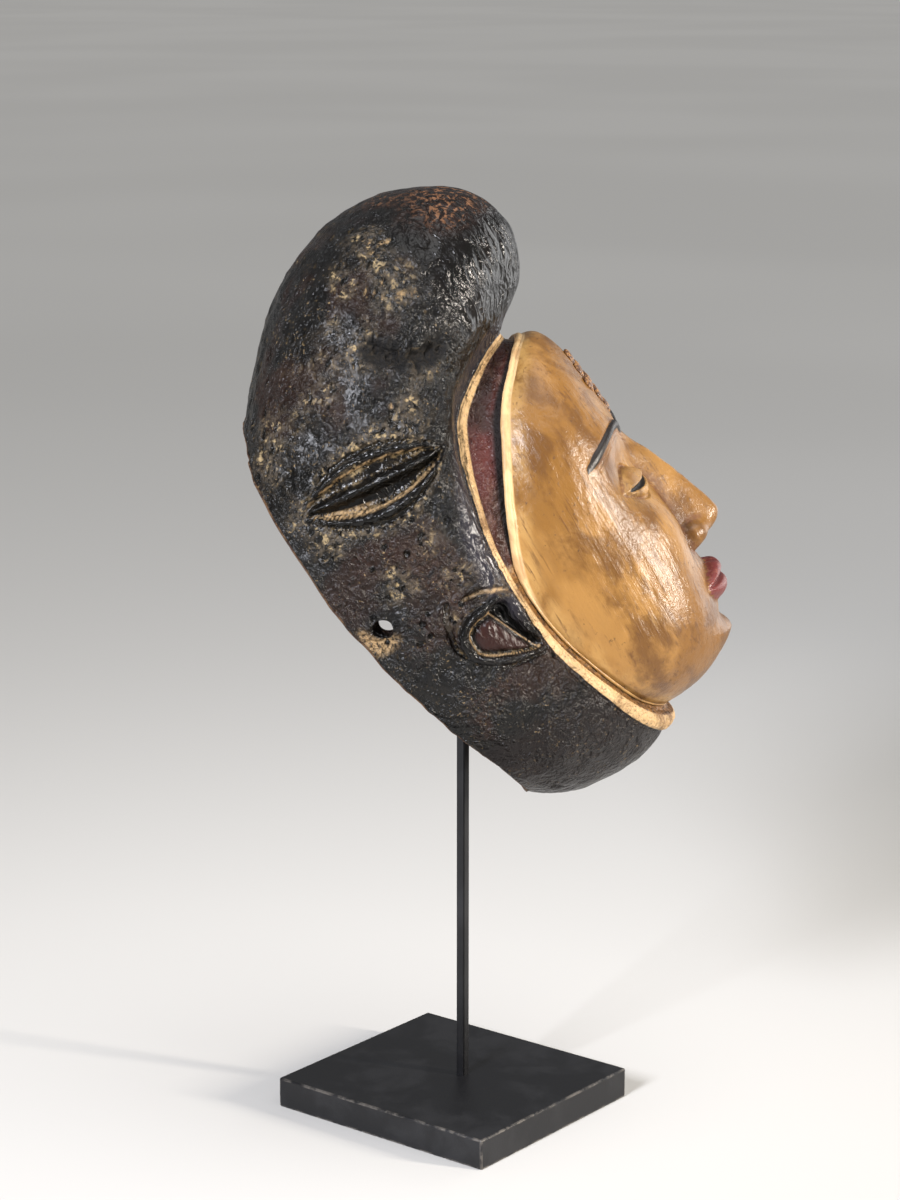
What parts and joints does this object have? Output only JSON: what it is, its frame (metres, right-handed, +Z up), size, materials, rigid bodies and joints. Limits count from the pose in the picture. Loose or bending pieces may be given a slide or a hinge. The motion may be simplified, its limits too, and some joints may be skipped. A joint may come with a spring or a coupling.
{
  "type": "punu mask",
  "caption": "Carved wooden mask with a pale face and domed dark coiffure, held leaning back on a square rod above a flat base plate.",
  "frame": {"origin": "on the underside of the base plate, straight below the middle line of the rod", "axes": "+Z up; the mask faces -Y and leans back 30 degrees; X is across the face, which is the same on both sides of X = 0"},
  "size_m": [0.1765, 0.2355, 0.4641],
  "materials": {
    "carved_wood": "carved light wood, blackened coiffure and ochre face, worn and dusty",
    "rod_steel": "matt black",
    "plate_steel": "matt black, edges rubbed"
  },
  "bodies": {
    "root": {"mask": "carved_wood", "support_rod": "rod_steel", "base_plate": "plate_steel"}
  },
  "joints": []
}
